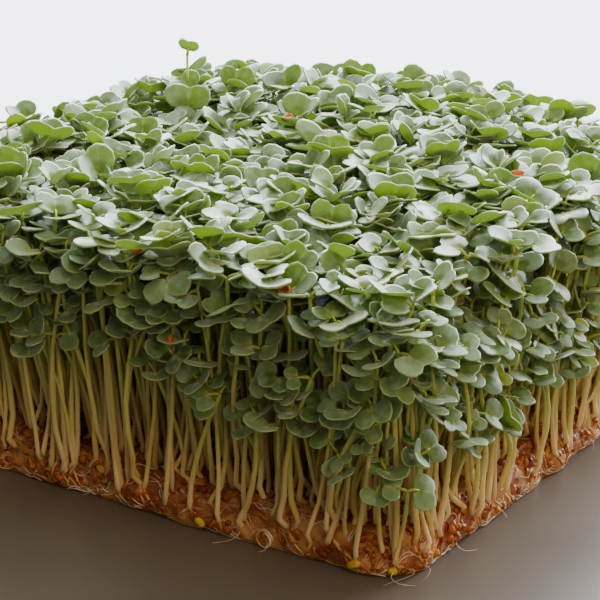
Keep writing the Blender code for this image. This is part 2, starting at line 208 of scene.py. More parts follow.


# Brassica seed leaf, grown matt under a waxy bloom: grey-green that pales at a low angle, a painted
# highlight along its rim, faint veins, and a yellow-green glow where light comes through both its skins
def leafSkin(look):
    skin, tree = newMaterial("waxy_seed_leaf")
    where = objectSpace(tree)
    blade = addNode(tree, "SeparateXYZ", {0: addNode(tree, "UVMap", uv_map="blade")})
    outward, across = blade.outputs[0], blade.outputs[1]
    tone = addNode(tree, "Attribute", attribute_name="tone").outputs["Fac"]
    young = addNode(tree, "Attribute", attribute_name="young").outputs["Fac"]
    under = addNode(tree, "Attribute", attribute_name="under").outputs["Fac"]
    mottle = addNode(tree, "TexNoise", blots(where, look["mottleMm"], 3.0))
    grain = addNode(tree, "TexNoise", blots(where, look["grainMm"], 2.0))

    fromMidrib = addNode(tree, "Math", {0: across, 1: 0.5}, operation="SUBTRACT")
    fromMidrib = addNode(tree, "Math", {0: fromMidrib}, operation="ABSOLUTE")
    midrib = addNode(tree, "MapRange", {0: fromMidrib, 1: 0.015, 2: 0.05, 3: 0.5, 4: 0.0}, **smooth)
    waves = addNode(tree, "Math", {0: fromMidrib, 1: look["veins"]}, operation="MULTIPLY")
    waves = addNode(tree, "Math", {0: waves}, operation="SINE")
    veins = addNode(tree, "MapRange", {0: waves, 1: 0.86, 2: 1.0, 3: 0.0, 4: 0.22}, **smooth)
    inside = addNode(tree, "MapRange", {0: outward, 1: 0.75, 2: 0.95, 3: 1.0, 4: 0.0}, **smooth)
    drawn = addNode(tree, "Math", {0: midrib, 1: veins}, operation="MAXIMUM")
    drawn = addNode(tree, "Math", {0: drawn, 1: inside}, operation="MULTIPLY")

    tones = {0: tone, 6: srgb(look["dark"]), 7: srgb(look["pale"])}
    base = addNode(tree, "Mix", tones, **inColour).outputs[2]
    base = overlay(tree, base, look["bloom"], mottle, 0.4, 0.7, (0.0, 0.45))
    for share, colour in ((young, "young"), (under, "underside"), (drawn, "vein")):
        base = addNode(tree, "Mix", {0: share, 6: base, 7: srgb(look[colour])}, **inColour).outputs[2]
    # painted glow: the blade turns yellow-green towards its base, standing in for light that shines through
    # the cupped base
    base = overlay(tree, base, look["neck"], outward, 0.0, 0.42, (0.6, 0.0))
    # painted highlight: the blade's outermost strip and its cut edge are lightened, standing in for light
    # that catches the rim
    base = overlay(tree, base, look["rim"], outward, 0.88, 1.0, (0.0, 0.45))

    raised = addNode(tree, "Math", {0: grain, 1: drawn}, operation="SUBTRACT")
    bump = addNode(tree, "Bump", {"Height": raised, "Strength": 0.22, "Distance": 0.12 * mm})
    shader = addNode(
        tree,
        "BsdfPrincipled",
        {
            "Base Color": base,
            "Roughness": addNode(tree, "MapRange", {0: mottle, 1: 0.3, 2: 0.7, 3: 0.36, 4: 0.48}, **smooth),
            "IOR": 1.54,
            "Sheen Weight": 0.6,
            "Sheen Roughness": 0.45,
            "Sheen Tint": srgb(look["sheen"]),
            "Normal": bump,
        },
    )
    glows = {0: young, 6: srgb(look["glow"]), 7: srgb(look["youngGlow"])}
    glow = addNode(tree, "Mix", glows, **inColour).outputs[2]
    letThrough(tree, shader, look["through"], {"Color": glow, "Normal": bump})
    return skin


stemLook = {
    "cream": "#E0C07A",
    "paleCream": "#F4E2AC",
    "middle": "#C8C274",
    "top": "#9DB450",
    "foot": "#CE9450",
    "streak": "#F0E6B4",
    "glow": "#F4E2AC",
    "topGlow": "#D6E48E",
    "stemMm": 2.6,
    "streakMm": 0.35,
    "through": 0.40,
}


# Sprout stem, blanched in the shade of the leaves: moist cream that turns yellow-green near the top,
# with fine streaks along it and some light in its flesh
def stemSkin(look):
    skin, tree = newMaterial("blanched_stem")
    along = alongStrand(tree)
    own = addNode(tree, "TexNoise", blots(objectSpace(tree, (1, 1, 0.06)), look["stemMm"], 1.0))
    streak = addNode(tree, "TexNoise", blots(objectSpace(tree, (1, 1, 0.05)), look["streakMm"], 2.0))
    base = overlay(tree, srgb(look["cream"]), look["paleCream"], own, 0.35, 0.65)
    base = overlay(tree, base, look["middle"], along, 0.3, 0.75)
    base = overlay(tree, base, look["top"], along, 0.7, 1.0, (0.0, 0.9))
    base = overlay(tree, base, look["foot"], along, 0.0, 0.16, (0.4, 0.0))
    base = overlay(tree, base, look["streak"], streak, 0.4, 0.7, (0.0, 0.25))
    bump = addNode(tree, "Bump", {"Height": streak, "Strength": 0.3, "Distance": 0.1 * mm})
    finish = {"Base Color": base, "Roughness": 0.36, "IOR": 1.4, "Normal": bump}
    shader = addNode(tree, "BsdfPrincipled", finish)
    glow = overlay(tree, srgb(look["glow"]), look["topGlow"], along, 0.4, 0.9)
    letThrough(tree, shader, look["through"], {"Color": glow})
    return skin


stalkLook = {
    "green": "#92AC4C",
    "pale": "#A9B860",
    "foot": "#C4C474",
    "glow": "#DAE48C",
    "patchMm": 3.0,
    "through": 0.3,
}


# Leaf stalk, smooth and grown in the light: a clear yellow-green, paler where it meets the stem
def stalkSkin(look):
    skin, tree = newMaterial("smooth_leaf_stalk")
    own = addNode(tree, "TexNoise", blots(objectSpace(tree), look["patchMm"], 1.0))
    base = overlay(tree, srgb(look["green"]), look["pale"], own, 0.35, 0.65)
    base = overlay(tree, base, look["foot"], alongStrand(tree), 0.0, 0.5, (0.4, 0.0))
    shader = addNode(tree, "BsdfPrincipled", {"Base Color": base, "Roughness": 0.4, "IOR": 1.42})
    letThrough(tree, shader, look["through"], {"Color": srgb(look["glow"])})
    return skin


feltLook = {
    "rust": "#94461A",
    "cream": "#CE9450",
    "stain": "#7C3412",
    "fibre": "#EBC890",
    "glow": "#EEA858",
    "patchMm": 9.0,
    "stainMm": 3.2,
    "fibreMm": 0.7,
    "through": 0.24,
}


# Root felt, knitted wet by thousands of fine roots: cream where they lie thick, stained amber and rust
# by the seed coats, with a fibrous uneven surface
def feltSkin(look):
    skin, tree = newMaterial("wet_root_felt")
    where = objectSpace(tree)
    patch = addNode(tree, "TexNoise", blots(where, look["patchMm"], 2.0))
    stain = addNode(tree, "TexNoise", blots(where, look["stainMm"], 3.0))
    flattened = objectSpace(tree, (0.35, 0.35, 1.6))
    fibre = addNode(tree, "TexNoise", blots(flattened, look["fibreMm"], 4.0, 0.7))
    base = overlay(tree, srgb(look["rust"]), look["cream"], patch, 0.42, 0.62)
    base = overlay(tree, base, look["stain"], stain, 0.46, 0.68, (0.0, 0.85))
    base = overlay(tree, base, look["fibre"], fibre, 0.5, 0.72, (0.0, 0.6))
    wet = addNode(tree, "MapRange", {0: stain, 1: 0.3, 2: 0.7, 3: 0.38, 4: 0.62}, **smooth)
    bump = addNode(tree, "Bump", {"Height": fibre, "Strength": 0.7, "Distance": 0.5 * mm})
    shader = addNode(tree, "BsdfPrincipled", {"Base Color": base, "Roughness": wet, "Normal": bump})
    letThrough(tree, shader, look["through"], {"Color": srgb(look["glow"])})
    return skin


seedLook = {
    "blotch": "#5A2612",
    "glow": "#F0A45C",
    "blotchMm": 0.9,
    "netMm": 0.22,
}


# Seeds and split seed coats, soaked in water: amber to dark rust, each its own shade, with the fine
# net of a brassica seed and a wet gloss
def seedSkin(look, name, pale, dark, thinness):
    skin, tree = newMaterial(name)
    where = objectSpace(tree)
    tone = addNode(tree, "Attribute", attribute_name="tone").outputs["Fac"]
    blotch = addNode(tree, "TexNoise", blots(where, look["blotchMm"], 2.0))
    net = addNode(tree, "TexVoronoi", {"Vector": where, "Scale": 1 / (look["netMm"] * mm)}, feature="F1")
    base = addNode(tree, "Mix", {0: tone, 6: srgb(dark), 7: srgb(pale)}, **inColour).outputs[2]
    base = overlay(tree, base, look["blotch"], blotch, 0.4, 0.7, (0.0, 0.45))
    bump = addNode(tree, "Bump", {"Height": net, "Strength": 0.25, "Distance": 0.06 * mm})
    finish = {"Base Color": base, "Roughness": 0.27, "IOR": 1.45, "Normal": bump}
    shader = addNode(tree, "BsdfPrincipled", finish)
    letThrough(tree, shader, thinness, {"Color": srgb(look["glow"])})
    return skin


rootLook = {"patchMm": 6.0, "through": 0.25}


# Roots: fine ones, washed clean, are creamy white and a little clear, and stay light against the felt;
# thicker ones, soaked with the dye of the seed coats, are amber and sink into its colour
def rootSkin(look, name, clean, stained):
    skin, tree = newMaterial(name)
    stain = addNode(tree, "TexNoise", blots(objectSpace(tree), look["patchMm"], 2.0))
    base = overlay(tree, srgb(clean), stained, stain, 0.42, 0.62)
    shader = addNode(tree, "BsdfPrincipled", {"Base Color": base, "Roughness": 0.4})
    letThrough(tree, shader, look["through"], {"Color": srgb(clean)})
    return skin


tableLook = {"dark": "#584F45", "pale": "#625A50", "cloudMm": 60.0, "fleckMm": 1.2}


# Painted table top, worn smooth: grey, nearly plain, just glossy enough to catch the back light
def tableSkin(look):
    skin, tree = newMaterial("smooth_grey_table")
    where = objectSpace(tree)
    cloud = addNode(tree, "TexNoise", blots(where, look["cloudMm"], 3.0))
    fleck = addNode(tree, "TexNoise", blots(where, look["fleckMm"], 2.0))
    base = overlay(tree, srgb(look["dark"]), look["pale"], cloud, 0.3, 0.7)
    bump = addNode(tree, "Bump", {"Height": fleck, "Strength": 0.1, "Distance": 0.2 * mm})
    finish = {"Base Color": base, "Roughness": 0.36, "IOR": 1.5, "Normal": bump}
    shader = addNode(tree, "BsdfPrincipled", finish)
    addNode(tree, "OutputMaterial", {"Surface": shader})
    return skin


# Root felt

felt = {
    "x": 0.150,
    "y": 0.155,
    "corner": 0.013,
    "top": 0.0105,
    "cells": (108, 112),
    "rings": 9,
    "lump": (2.2 * mm, 125.0),  # height, and how many to a metre
    "grain": (0.7 * mm, 420.0),
    "lean": 3.2 * mm,  # how far the sides lean in at the top
    "tuck": 1.0 * mm,  # how far they draw in at the foot
    "topLump": 0.7,  # lumps of the top, as a share of the sides'
    "clear": 0.010,  # how far outside the mat a ray starts that finds its side
}


# Point of a square grid moved onto the mat's rounded rectangle, and its direction outwards
def onMat(x, y):
    innerX = felt["x"] / 2 - felt["corner"]
    innerY = felt["y"] / 2 - felt["corner"]
    held = Vector((max(-innerX, min(innerX, x)), max(-innerY, min(innerY, y))))
    past = Vector((x, y)) - held
    if past.length > 0:
        past *= max(abs(past.x), abs(past.y)) / past.length
    outward = past.normalized() if past.length > 0 else Vector((0, 0))
    return held + past, outward


# Where a direction from the middle meets the mat's square outline, or a smaller one inside it
def onOutline(angle, depth=0.0):
    x, y = math.cos(angle), math.sin(angle)
    reach = max(abs(x), abs(y))
    return x / reach * (felt["x"] / 2 - depth), y / reach * (felt["y"] / 2 - depth)


def unevenness(point):
    lump, lumpRate = felt["lump"]
    grain, grainRate = felt["grain"]
    return lump * noise.noise(point * lumpRate) + grain * noise.noise(point * grainRate)


def feltMesh():
    bm = bmesh.new()
    cellsX, cellsY = felt["cells"]
    bmesh.ops.create_grid(bm, x_segments=cellsX, y_segments=cellsY, size=0.5)
    topVerts = bm.verts[:]
    for vert in topVerts:
        place, _ = onMat(vert.co.x * felt["x"], vert.co.y * felt["y"])
        vert.co = (*place, felt["top"])
    edges = [e for e in bm.edges if e.is_boundary]
    sides = []
    for ring in range(felt["rings"]):
        grown = bmesh.ops.extrude_edge_only(bm, edges=edges)["geom"]
        edges = [g for g in grown if isinstance(g, bmesh.types.BMEdge)]
        share = (ring + 1) / felt["rings"]
        for vert in (g for g in grown if isinstance(g, bmesh.types.BMVert)):
            vert.co.z = felt["top"] * (1 - share)
            sides.append((vert, share))
    bmesh.ops.holes_fill(bm, edges=edges, sides=0)
    for vert, share in sides:
        _, outward = onMat(vert.co.x, vert.co.y)
        lean = -felt["lean"] * (1 - share) ** 1.5 - felt["tuck"] * share ** 6
        push = lean + unevenness(vert.co.copy()) * math.sin(math.pi * (0.2 + 0.6 * share))
        vert.co.x += outward.x * push
        vert.co.y += outward.y * push
    shrinkX = 1 - 2 * felt["lean"] / felt["x"]
    shrinkY = 1 - 2 * felt["lean"] / felt["y"]
    for vert in topVerts:
        vert.co.x *= shrinkX
        vert.co.y *= shrinkY
        vert.co.z += unevenness(Vector((vert.co.x, vert.co.y, 0.5))) * felt["topLump"]
    bmesh.ops.recalc_face_normals(bm, faces=bm.faces)
    settled(bm)
    return bm


feltBm = feltMesh()
feltTree = BVHTree.FromBMesh(feltBm)
feltPiece = addPiece("root_felt_block", meshFrom(feltBm, "root_felt_block"), feltSkin(feltLook),
                     ["root_mat", "seed_bed"])
print("felt", len(feltPiece.data.polygons))


# Point on the felt's side at a share of the way round, with its normal
def sidePoint(share, height):
    place, outward = onMat(*onOutline(share * fullTurn))
    start = Vector((*(place + outward * felt["clear"]), height))
    hit, normal, _, _ = feltTree.ray_cast(start, Vector((-outward.x, -outward.y, 0)))
    if hit is None:
        hit, normal, _, _ = feltTree.find_nearest(start)
    return hit, normal


# Point on the felt's top, with its normal
def topPoint(x, y):
    hit, normal, _, _ = feltTree.ray_cast(Vector((x, y, 50 * mm)), -upwards)
    if hit is None:
        hit, normal, _, _ = feltTree.find_nearest(Vector((x, y, felt["top"])))
    return hit, normal


# Seeds and seed coats

seedRules = {
    "radius": 1.12 * mm,
    "sideSeeds": 1200,
    "topSeeds": 2100,
    "topRing": 30 * mm,  # width of the strip along the rim where the top's seeds show
    "lowest": 1.9 * mm,
    "patch": 95.0,  # patches of seeds, how many to a metre
    "bare": (-0.55, 0.1),  # noise below a value in this range leaves a spot bare
    "whole": 0.36,  # share of the seeds that haven't split
    "sizes": (0.8, 1.15),
    "shade": (0.5, 0.28),  # middle and spread of their tones
    "seedSink": 0.72 * mm,
    "coatSink": 0.3 * mm,
    "coatSize": 1.08,
    "coatWall": 0.16 * mm,
}


def withShade(mesh):
    mesh.attributes.new("tone", "FLOAT", "POINT")
    return mesh


# A whole seed: a little longer than high, with the shallow crease that its root makes
def seedTemplate():
    bm = bmesh.new()
    bmesh.ops.create_uvsphere(bm, u_segments=8, v_segments=6, radius=seedRules["radius"])
    for vert in bm.verts:
        vert.co.x *= 1.12
        vert.co.z *= 0.86
        if vert.co.y > 0:
            vert.co.y *= 1 - 0.18 * math.exp(-((vert.co.x / (0.5 * mm)) ** 2))
    settled(bm)
    return withShade(meshFrom(bm, "seed"))


# A seed coat that has split and let its seed go: a thin cup, open on one side
def coatTemplate():
    bm = bmesh.new()
    bmesh.ops.create_uvsphere(bm, u_segments=8, v_segments=5, radius=seedRules["radius"] * 1.05)
    geometry = bm.verts[:] + bm.edges[:] + bm.faces[:]
    cut = {"plane_co": (0, 0, 0.15 * mm), "plane_no": (0.25, 0, 1)}
    bmesh.ops.bisect_plane(bm, geom=geometry, clear_outer=True, **cut)
    for vert in bm.verts:
        vert.co.x *= 1.22
        vert.co.y *= 0.86
        vert.co.z += 0.25 * vert.co.x * math.sin(vert.co.y * 1.5 / mm)
    bmesh.ops.solidify(bm, geom=bm.faces[:], thickness=seedRules["coatWall"])
    bmesh.ops.recalc_face_normals(bm, faces=bm.faces)
    settled(bm)
    return withShade(meshFrom(bm, "coat"))


seedForm = seedTemplate()
coatForm = coatTemplate()


# A turn at random about the upright, tipped by up to the angle given
def tipped(most):
    angles = (draw.uniform(-most, most), draw.uniform(-most, most), draw.uniform(0, fullTurn))
    return Euler(angles).to_matrix().to_4x4()


# Place of a copy that lies on the felt, sunk in it a little
def placed(point, normal, sink, tip, size):
    upright = normal.to_track_quat("Z", "Y").to_matrix().to_4x4()
    scale = Matrix.Diagonal((size, size, size, 1))
    return Matrix.Translation(point - normal * sink) @ upright @ tipped(tip) @ scale


def scatterSeeds():
    seeds, coats = [], []
    spots = []
    for _ in range(seedRules["sideSeeds"]):
        spots.append(sidePoint(draw.random(), draw.uniform(seedRules["lowest"], felt["top"])))
    for _ in range(seedRules["topSeeds"]):
        depth = draw.random() ** 1.5 * seedRules["topRing"]
        place, _ = onMat(*onOutline(draw.uniform(0, fullTurn), depth))
        spots.append(topPoint(place.x, place.y))
    for point, normal in spots:
        crowd = noise.noise(point * seedRules["patch"] + Vector((3.1, 0, 0)))
        if crowd < draw.uniform(*seedRules["bare"]):
            continue
        size = draw.uniform(*seedRules["sizes"])
        shade = {"tone": min(1, max(0, draw.gauss(*seedRules["shade"])))}
        if draw.random() < seedRules["whole"]:
            seeds.append((seedForm, placed(point, normal, seedRules["seedSink"], 0.9, size), shade))
        else:
            size *= seedRules["coatSize"]
            coats.append((coatForm, placed(point, normal, seedRules["coatSink"], 1.7, size), shade))
    return seeds, coats


seedCopies, coatCopies = scatterSeeds()
addPiece("seeds", gather("seeds", seedCopies),
         seedSkin(seedLook, "soaked_brassica_seed", "#AC581E", "#66290F", 0.12))
print("seeds", len(seedCopies), "coats", len(coatCopies))


# Fine roots on the felt and round its foot

rootRules = {
    "sideStrands": 460,
    "topStrands": 320,
    "footStrands": 14,
    "lowShare": 0.35,  # share of the side's roots that run along its foot
    "lowest": 0.4 * mm,
    "topRing": 26 * mm,
    "step": 0.9 * mm,  # of a root on the top, from one point to the next
    "loop": {"share": -0.1745, "height": 2.5 * mm, "radius": 2.0 * mm, "thick": 0.27 * mm},
    "thin": 0.08 * mm,
    "thick": 0.19 * mm,
    "frontShifts": (0.003, 0.006, 0.008, 0.034),  # loose roots by the front corner, in shares of a turn
}


# Each point moved towards its neighbours' middle, so that a strand runs in soft bends
def softened(points, passes=3):
    for _ in range(passes):
        inner = [((a[0] + 2 * b[0] + c[0]) / 4, b[1]) for a, b, c in zip(points, points[1:], points[2:])]
        points = [points[0], *inner, points[-1]]
    return points


def sideStrand():
    low = draw.random() < rootRules["lowShare"]
    share = draw.random()
    height = draw.uniform(0.4, 1.8) * mm if low else draw.uniform(0.5 * mm, felt["top"])
    run = draw.uniform(0.004, 0.016) * draw.choice((-1, 1))
    climb = draw.uniform(-1, 1) * mm if low else draw.uniform(-5, 5) * mm
    radius = draw.uniform(rootRules["thin"], rootRules["thick"])
    phase = draw.uniform(0, fullTurn)
    points = []
    for i in range(9):
        along = i / 8
        wobble = 0.9 * mm * math.sin(phase + along * 7)
        level = min(felt["top"], max(rootRules["lowest"], height + climb * along + wobble))
        point, normal = sidePoint(share + run * along, level)
        points.append((point + normal * radius * 0.7, radius * (1 - 0.6 * along)))
    return softened(points)


def topStrand():
    depth = draw.random() * rootRules["topRing"]
    place, _ = onMat(*onOutline(draw.uniform(0, fullTurn), depth))
    heading = draw.uniform(0, fullTurn)
    radius = draw.uniform(rootRules["thin"], rootRules["thick"])
    limitX = felt["x"] / 2 - 0.5 * mm
    limitY = felt["y"] / 2 - 0.5 * mm
    points = []
    for i in range(8):
        heading += draw.uniform(-0.7, 0.7)
        place = place + Vector((math.cos(heading), math.sin(heading))) * rootRules["step"]
        place, _ = onMat(max(-limitX, min(limitX, place.x)), max(-limitY, min(limitY, place.y)))
        point, normal = topPoint(place.x, place.y)
        points.append((point + Vector((0, 0, radius * 1.4)), radius))
    return softened(points)


# A loose root that leaves the foot of the mat and lies on the table
def footStrand(share, length):
    point, normal = sidePoint(share, 1.2 * mm)
    flat = Vector((normal.x, normal.y, 0)).normalized()
    across = Vector((-flat.y, flat.x, 0)) * draw.choice((-1, 1))
    radius = draw.uniform(rootRules["thin"], rootRules["thick"]) * 1.1
    bend = draw.uniform(2.0, 5.0)
    points = []
    for i in range(9):
        along = i / 8
        swing = math.sin(along * bend) * length * 0.7
        spot = point - flat * 1.0 * mm + flat * along * length + across * swing
        lift = 1.6 * mm * math.sin(math.pi * min(1, along * 1.2)) * draw.uniform(0.7, 1.1)
        spot.z = radius + max(0, point.z * (1 - along) + lift * (1 - along))
        points.append((spot, radius * (1 - 0.55 * along)))
    return points


# A root that has curled into a ring beside the mat, a little more than once round
def loopStrand():
    loop = rootRules["loop"]
    point, normal = sidePoint(loop["share"], loop["height"])
    flat = Vector((normal.x, normal.y, 0)).normalized()
    across = Vector((-flat.y, flat.x, 0))
    points = []
    for i in range(17):
        angle = 7.6 * i / 16
        ring = across * math.cos(angle) + upwards * math.sin(angle)
        points.append((point + flat * (1.0 + 0.12 * angle) * mm + ring * loop["radius"], loop["thick"]))
    return points


rootStrands = [loopStrand()]
rootStrands += [sideStrand() for _ in range(rootRules["sideStrands"])]
rootStrands += [topStrand() for _ in range(rootRules["topStrands"])]
for _ in range(rootRules["footStrands"]):
    rootStrands.append(footStrand(draw.random(), draw.uniform(2.0, 5.0) * mm))
frontCorner = -math.atan2(felt["y"], felt["x"]) / fullTurn
for shift in rootRules["frontShifts"]:
    rootStrands.append(footStrand(frontCorner + shift, draw.uniform(4.0, 6.5) * mm))
addPiece("fine_roots", strandMesh("fine_roots", rootStrands),
         rootSkin(rootLook, "fine_white_root", "#F0E6CC", "#CE9C60"))
print("roots", len(rootStrands))


# Seed leaves

leafRules = {
    "length": 5.9 * mm,
    "thickness": 0.27 * mm,
    "spread": math.radians(98),  # of the blade's rim to each side of its midrib
    "neck": 0.45 * mm,
    "notchWidth": 0.31,  # in radians
    "angles": 12,
    "rings": (0.0, 0.55, 0.92, 1.0),
    "variants": 16,
    "shapes": {
        "notch": (0.20, 0.40),
        "lopsided": (-0.10, 0.10),
        "long": (0.86, 1.0),
        "wide": (1.02, 1.2),
        "cup": (-0.04, 0.34),
        "fold": (-0.04, 0.34),
        "arch": (-0.32, 0.04),
        "curl": (0.04, 0.16),
    },
}


# One notched, cupped blade: its base is at the origin and it points along X, with its upper face up
def leafTemplate(shape):
    length, neck, rings = leafRules["length"], leafRules["neck"], leafRules["rings"]
    last = len(rings) - 1
    bm = bmesh.new()
    bmesh.ops.create_grid(bm, x_segments=leafRules["angles"], y_segments=last, size=1.0)
    for vert in bm.verts:
        vert.co.y = rings[round((vert.co.y + 1) / 2 * last)]
    uv = bm.loops.layers.uv.new("blade")
    for face in bm.faces:
        for loop in face.loops:
            loop[uv].uv = (loop.vert.co.y, (loop.vert.co.x + 1) / 2)
    for vert in bm.verts:
        side, outward = vert.co.x, vert.co.y
        angle = math.copysign(abs(side) ** 1.05, side) * leafRules["spread"]
        notch = 1 - shape["notch"] * math.exp(-((angle / leafRules["notchWidth"]) ** 2))
        lopsided = 1 + shape["lopsided"] * math.sin(angle)
        rim = length * notch * lopsided * math.cos(angle * 0.70) ** 0.85
        reach = neck + (rim - neck) * outward
        x = math.cos(angle) * reach * shape["long"]
        y = math.sin(angle) * reach * shape["wide"]
        away = reach / length
        z = shape["cup"] * away ** 2 * length
        z += shape["fold"] * abs(y)
        z += shape["arch"] * (x / length) ** 2 * length
        z -= shape["curl"] * away ** 5 * length
        z += 0.05 * length * away ** 2 * math.sin(shape["waves"] * angle + shape["phase"])
        vert.co = (x, y, z)
    bmesh.ops.recalc_face_normals(bm, faces=bm.faces)
    if sum(f.normal.z for f in bm.faces) < 0:
        bmesh.ops.reverse_faces(bm, faces=bm.faces)
    bmesh.ops.solidify(bm, geom=bm.faces[:], thickness=leafRules["thickness"])
    bmesh.ops.recalc_face_normals(bm, faces=bm.faces)
    settled(bm)
    for key in ("tone", "young", "under"):
        bm.verts.layers.float.new(key)
    under = bm.verts.layers.float["under"]
    for vert in bm.verts:
        vert[under] = 1.0 if vert.normal.z < -0.1 else 0.0
    return meshFrom(bm, "leaf")


def leafVariants():
    made = []
    for _ in range(leafRules["variants"]):
        shape = {key: draw.uniform(*span) for key, span in leafRules["shapes"].items()}
        shape["waves"] = draw.choice((2, 3))
        shape["phase"] = draw.uniform(0, fullTurn)
        made.append(leafTemplate(shape))
    return made


# Sprouts: where each one stands, how high it grows and which way its leaves lie

standRules = {
    "feet": (41, 43),
    "stray": 0.45,  # of a foot from its place in the grid, in grid steps
    "inset": 2.6 * mm,
    "extras": 240,  # more sprouts in a strip along the rim
    "extraRing": 5,  # its width in millimetres
    "canopy": (0.160, 0.165),
    "spread": 0.8,  # how far heads move out from the mat's size to the canopy's
    "sample": 1.5 * mm,  # how close two leaves' points may come
    "tries": 14,
    "loosen": 0.12,  # how much further each next try may stray
    "rim": 3.5 * mm,  # strip where stems may leave the mat's side
    "rimShare": 0.6,
    "skirtDepth": 8.5 * mm,  # strip whose sprouts hang outwards in a skirt of leaves
    "skirtLow": 0.024,
    "layers": (0, 0, 0, 0, 4, 9, 15),  # depths of the inner leaves under the crown, in millimetres
    "headStray": 2.3,  # in millimetres, as the next two
    "skirtPush": 4.5,
    "heightStray": 1.5,
    "margin": 4 * mm,  # of the heads inside the canopy
}
tall = {  # the one that stands above the rest
    "x": -0.0625,
    "y": 0.0345,
    "top": Vector((1.5 * mm, 0, 0.0745)),
    "heading": 2.2,
    "tilt": math.radians(12),
    "lean": Vector((0.4, 0.9)),
    "size": 0.66,
    "row": 4,
}
crown = {
    "x": 0.166,
    "y": 0.171,
    "low": 0.0605,
    "high": 0.0660,
    "fall": 0.002,  # round the rim
    "droop": 0.018,  # at the corner at -X and +Y
    "droopFrom": 0.44,
    "dip": {"x": 0.048, "y": 0.080, "reach": 0.020, "depth": 0.005},
}
pairRules = {
    "sizes": (0.84, 1.16),
    "topSize": 1.2,
    "mostLess": 0.26,  # how much smaller the lowest pairs are
    "lessDepth": 0.07,
    "flatShare": 0.7,
    "flatRise": (-6, 30),  # in degrees, as the others
    "cupRise": (5, 55),
    "riseStray": (-10, 10),
    "secondLeaf": (0.76, 0.92),
    "yawStray": (-0.25, 0.25),
    "roll": 0.16,
    "stalk": (1.4, 3.2),  # in millimetres
    "stalkRise": (18, 45),
    "skirtTilt": (10, 58),
    "crownTilt": 13,
}
tufts = {"rows": 6, "columns": 6}
probePoints = ((2.7, 0, 0), (4.5, 2, 0), (4.5, -2, 0), (2.2, 3, 0), (2.2, -3, 0), (0.7, 0, 0))
leafProbe = [Vector(point) * mm for point in probePoints]
taken = {}


def cellOf(point):
    size = standRules["sample"]
    return (math.floor(point.x / size), math.floor(point.y / size), math.floor(point.z / size))


# How many points of other leaves lie close to these
def crowding(points):
    count = 0
    for point in points:
        cx, cy, cz = cellOf(point)
        for dx in (-1, 0, 1):
            for dy in (-1, 0, 1):
                for dz in (-1, 0, 1):
                    for other in taken.get((cx + dx, cy + dy, cz + dz), ()):
                        count += (other - point).length < standRules["sample"]
    return count


# The crown follows the solids: nearly level, with a droop at one corner and a shallow dip
def crownHeight(x, y):
    edge = max(abs(x) / (crown["x"] / 2), abs(y) / (crown["y"] / 2))
    swell = 0.5 + 0.25 * math.sin(x * 70 + 0.6) + 0.25 * math.sin(y * 58 + x * 31)
    low, high = crown["low"], crown["high"]
    toCorner = y / crown["y"] - x / crown["x"]
    begin = crown["droopFrom"]
    droop = crown["droop"] * max(0, (toCorner - begin) / (1 - begin)) ** 1.5
    dip = crown["dip"]
    fromDip = (x - dip["x"]) ** 2 + (y - dip["y"]) ** 2
    sunk = dip["depth"] * math.exp(-fromDip / dip["reach"] ** 2)
    return low + (high - low) * swell - crown["fall"] * edge ** 6 - droop - sunk


# Where the two leaves of a pair lie: each blade's matrix, the middle of its stalk and the stalk's end
def leafPlaces(head, heading, tilt, lean, pair):
    axis = Vector((-lean.y, lean.x, 0))
    tip = Matrix.Rotation(tilt, 4, axis) @ Matrix.Rotation(heading, 4, "Z")
    places = []
    for leaf in pair:
        turn = Matrix.Rotation(leaf["yaw"], 4, "Z")
        stalkEnd = Vector((math.cos(leaf["stalkRise"]), 0, math.sin(leaf["stalkRise"]))) * leaf["stalk"]
        blade = Matrix.Rotation(-leaf["rise"], 4, "Y") @ Matrix.Rotation(leaf["roll"], 4, "X")
        end = head + tip @ turn @ stalkEnd
        size = leaf["size"]
        spot = Matrix.Translation(end) @ tip @ turn @ blade @ Matrix.Diagonal((size, size, size, 1))
        middle = head + tip @ turn @ Vector((stalkEnd.x * 0.35, 0, stalkEnd.z * 0.6))
        places.append((spot, middle, end))
    return places


def newPair(flat, share):
    size = draw.uniform(*pairRules["sizes"]) * share
    rise = math.radians(draw.uniform(*pairRules["flatRise" if flat else "cupRise"]))
    pair = []
    for yaw, second in ((0, 1.0), (math.pi, draw.uniform(*pairRules["secondLeaf"]))):
        pair.append({
            "yaw": yaw + draw.uniform(*pairRules["yawStray"]),
            "rise": rise + math.radians(draw.uniform(*pairRules["riseStray"])),
            "roll": draw.gauss(0, pairRules["roll"]),
            "stalk": draw.uniform(*pairRules["stalk"]) * mm,
            "stalkRise": rise + math.radians(draw.uniform(*pairRules["stalkRise"])),
            "size": size * second,
        })
    return pair


# A head near the foot, spread a little outwards and kept inside the canopy
def looseHead(foot, outward, edge, loose):
    canopyX, canopyY = standRules["canopy"]
    spreadX = canopyX / (felt["x"] - 2 * standRules["inset"])
    spreadY = canopyY / (felt["y"] - 2 * standRules["inset"])
    spread = standRules["spread"]
    head = Vector((foot.x * (1 + (spreadX - 1) * spread), foot.y * (1 + (spreadY - 1) * spread)))
    stray = standRules["headStray"]
    head += Vector((draw.gauss(0, stray), draw.gauss(0, stray))) * mm * loose
    if edge:
        head += outward * draw.uniform(0, standRules["skirtPush"]) * mm
    limitX = canopyX / 2 - standRules["margin"]
    limitY = canopyY / 2 - standRules["margin"]
    head.x = max(-limitX, min(limitX, head.x))
    head.y = max(-limitY, min(limitY, head.y))
    return head


